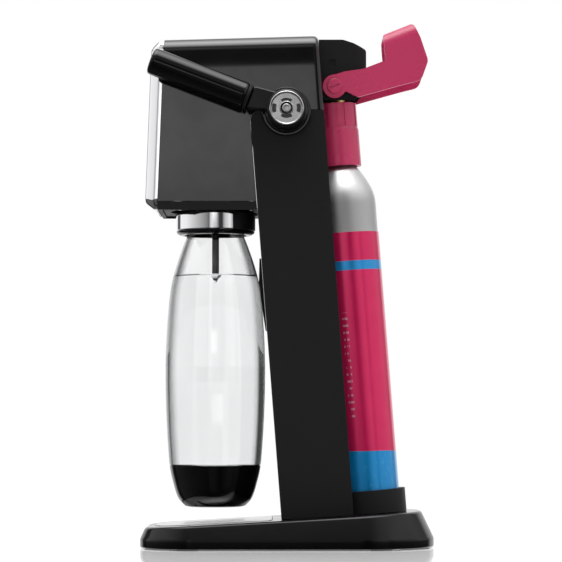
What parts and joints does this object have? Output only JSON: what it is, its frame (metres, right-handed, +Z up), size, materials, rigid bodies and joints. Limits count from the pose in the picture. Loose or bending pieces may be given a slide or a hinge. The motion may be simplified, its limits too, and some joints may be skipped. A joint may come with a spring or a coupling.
{
  "type": "soda carbonator",
  "caption": "Countertop soda maker with a leaning column, lever, swinging bottle holder, clear bottle, and a gas cylinder clamped by a hinged handle.",
  "frame": {"origin": "on the floor, under the middle of the base", "axes": "+Z up; +X towards the lever side; -Y towards the front, where the bottle hangs"},
  "size_m": [0.152, 0.248, 0.4451],
  "materials": {
    "gloss_black": "polished injection-moulded plastic",
    "satin_black": "fine satin texture",
    "inner_black": "plain matte",
    "chrome": "bright plated",
    "steel": "fine brushed",
    "aluminium": "bead-blasted",
    "brass": "machined",
    "pink": "satin moulded plastic",
    "label_pink": "printed shrink sleeve",
    "rubber": "matte",
    "clear_bottle": "clear blow-moulded polyester"
  },
  "bodies": {
    "root": {"base_shell": "gloss_black", "base_plate": "inner_black", "base_screw_front_right": "steel", "base_screw_front_left": "steel", "base_screw_rear_right": "steel", "base_screw_rear_left": "steel", "foot_front_right": "rubber", "foot_front_left": "rubber", "foot_rear_right": "rubber", "foot_rear_left": "rubber", "column_shell": "satin_black", "bay_liner": "inner_black", "cylinder_cup": "satin_black", "bottle_rest": "inner_black", "head_shell": "gloss_black", "head_trim": "satin_black", "rear_cap": "satin_black", "support_frame": "steel", "lever_boss": "satin_black", "shaft_bush_outer": "brass", "shaft_bush_inner": "brass", "bezel_frame": "chrome", "front_panel": "gloss_black", "rocker_pin": "steel", "gas_hose": "inner_black", "valve_body": "brass", "valve_seal": "rubber", "valve_spring": "steel"},
    "drip_tray": {"drip_tray": "satin_black", "drip_plate": "steel"},
    "lever": {"lever_arm": "satin_black", "hub_disc": "chrome", "hub_screw": "steel", "lever_shaft": "steel", "lever_cam": "steel", "shaft_clip": "steel", "lever_grip": "gloss_black", "grip_ring": "satin_black"},
    "rocker": {"valve_rocker": "steel"},
    "plunger": {"valve_plunger": "brass"},
    "bottle_holder": {"collar_ring": "chrome", "collar_lip": "satin_black", "carbonation_block": "satin_black", "bottle_seal": "rubber", "nozzle_tube": "satin_black", "nozzle_tip": "steel", "relief_valve": "brass", "holder_pin_right": "steel", "holder_pin_left": "steel"},
    "bottle": {"bottle_body": "clear_bottle", "bottle_boot": "gloss_black"},
    "bail": {"cylinder_bail": "pink", "bail_pin_right": "pink", "bail_pin_left": "pink"},
    "cylinder": {"cylinder_body": "aluminium", "cylinder_label": "label_pink", "cylinder_collar": "pink", "cylinder_valve": "brass"}
  },
  "joints": [
    {"name": "lever_hinge", "type": "hinge", "parent": "root", "child": "lever", "pos_m": [0, -0.001, 0.3664], "axis": [1, 0, 0], "range_deg": [0, 35], "stiffness_Nm_per_rad": 0.6, "springref_deg": -17.19},
    {"name": "rocker_hinge", "type": "hinge", "parent": "root", "child": "rocker", "pos_m": [0, 0.01, 0.406], "axis": [1, 0, 0], "range_deg": [-8.2, 0]},
    {"name": "plunger_slide", "type": "slide", "parent": "root", "child": "plunger", "axis": [0, 0.0767, -0.9971], "range_m": [0, 0.004], "deforming": ["valve_spring"]},
    {"name": "holder_hinge", "type": "hinge", "parent": "root", "child": "bottle_holder", "pos_m": [0, -0.0617, 0.292], "axis": [1, 0, 0], "range_deg": [-16, 0]},
    {"name": "bottle_slide", "type": "slide", "parent": "bottle_holder", "child": "bottle", "axis": [0, 0, -1], "range_m": [0, 0.004]},
    {"name": "bail_hinge", "type": "hinge", "parent": "root", "child": "bail", "pos_m": [0, 0.04, 0.391], "axis": [1, 0, 0], "range_deg": [-85, 0]},
    {"name": "cylinder_slide", "type": "slide", "parent": "root", "child": "cylinder", "axis": [0, -0.0767, 0.9971], "range_m": [0, 0.004]},
    {"name": "tray_lift", "type": "slide", "parent": "root", "child": "drip_tray", "axis": [0, -0.0559, 0.9984], "range_m": [0, 0.005]}
  ],
  "couplings": [
    {"joint": "rocker_hinge", "follows": "lever_hinge", "ratio": -0.234},
    {"joint": "plunger_slide", "follows": "lever_hinge", "m_per_rad": 0.00654},
    {"joint": "cylinder_slide", "follows": "bail_hinge", "m_per_rad": -0.00269}
  ]
}
